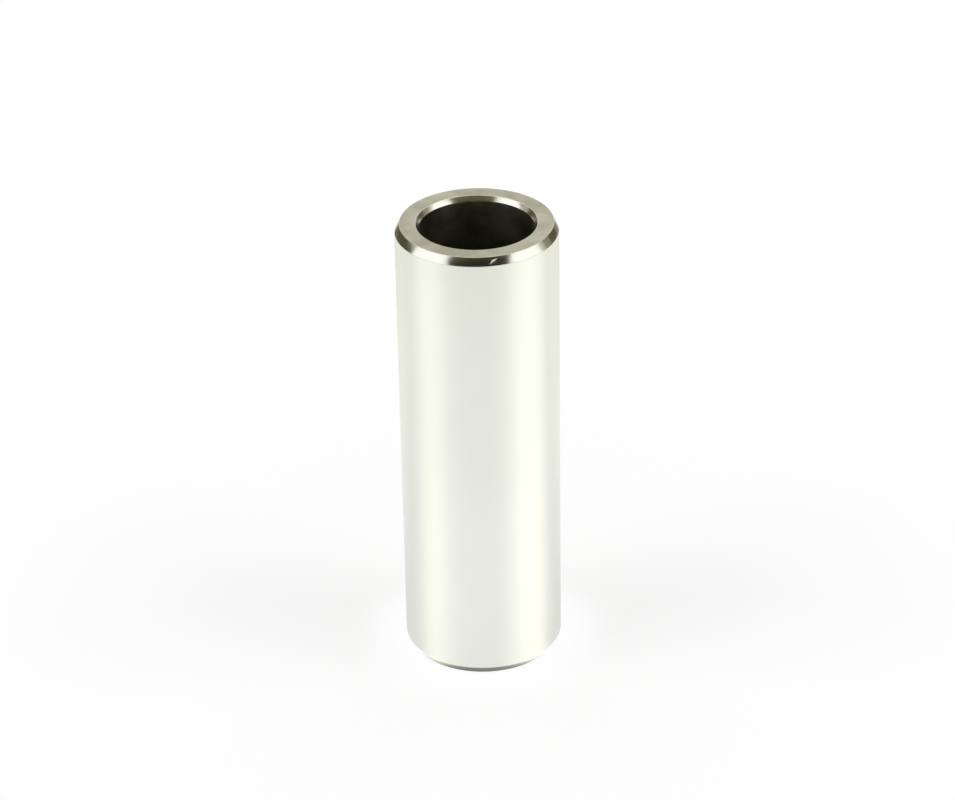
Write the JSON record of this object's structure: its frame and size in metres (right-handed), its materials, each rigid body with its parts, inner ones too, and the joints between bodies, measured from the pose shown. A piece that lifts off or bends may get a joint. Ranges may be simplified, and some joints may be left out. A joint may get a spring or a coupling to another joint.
{
  "type": "piston pin",
  "caption": "Straight hollow steel pin, ground outside, with chamfered ends and a bevelled bore mouth; joins a piston to the small end of its connecting rod.",
  "frame": {"origin": "middle of the lower end, where the pin's axis meets the plane of the end face", "axes": "+Z along the pin's axis, from the lower end to the upper end; the pin is round, so X and Y are free"},
  "size_m": [0.0236, 0.0236, 0.0698],
  "materials": {
    "ground_steel": "outside wall ground and polished, end faces turned and duller, bore left dark"
  },
  "bodies": {
    "root": {"piston_pin": "ground_steel"}
  },
  "joints": []
}
